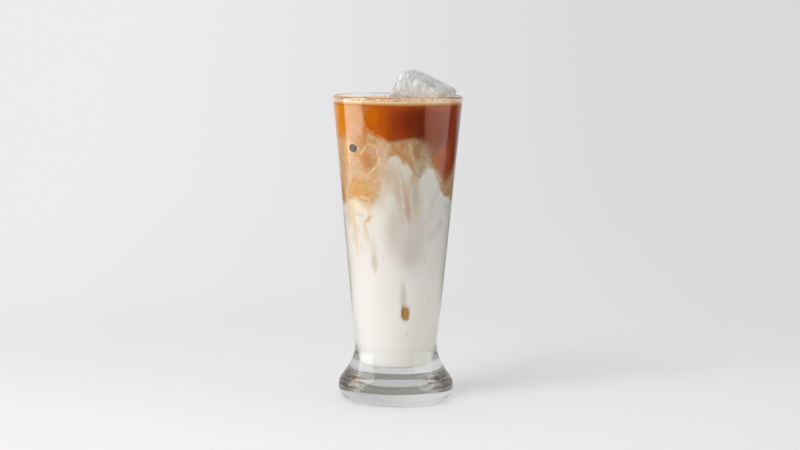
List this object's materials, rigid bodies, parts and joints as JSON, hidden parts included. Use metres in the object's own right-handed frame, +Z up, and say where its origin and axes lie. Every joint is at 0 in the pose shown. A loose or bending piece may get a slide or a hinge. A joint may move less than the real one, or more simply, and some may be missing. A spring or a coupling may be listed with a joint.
{
  "type": "iced flat white in a tall footed glass",
  "caption": "Layered iced milk coffee in a tall clear footed glass: white milk, marbled milky coffee, dark coffee and a thin crema, with an ice cube that leans out over the rim.",
  "frame": {"origin": "middle of the ring that the glass stands on", "axes": "+Z up along the glass's axis, from the foot to the rim; -Y is the front, and the ice cube leans over towards +X"},
  "size_m": [0.0745, 0.0744, 0.1905],
  "materials": {
    "glass": "clear, polished",
    "milk": "opaque white milk",
    "swirl": "marbled milky coffee",
    "coffee": "dark red-brown coffee",
    "crema": "fine pale foam",
    "ice": "clear ice, wet"
  },
  "bodies": {
    "root": {"glass": "glass", "milk": "milk", "swirl": "swirl", "coffee": "coffee", "crema": "crema", "ice_cube": "ice"}
  },
  "joints": []
}
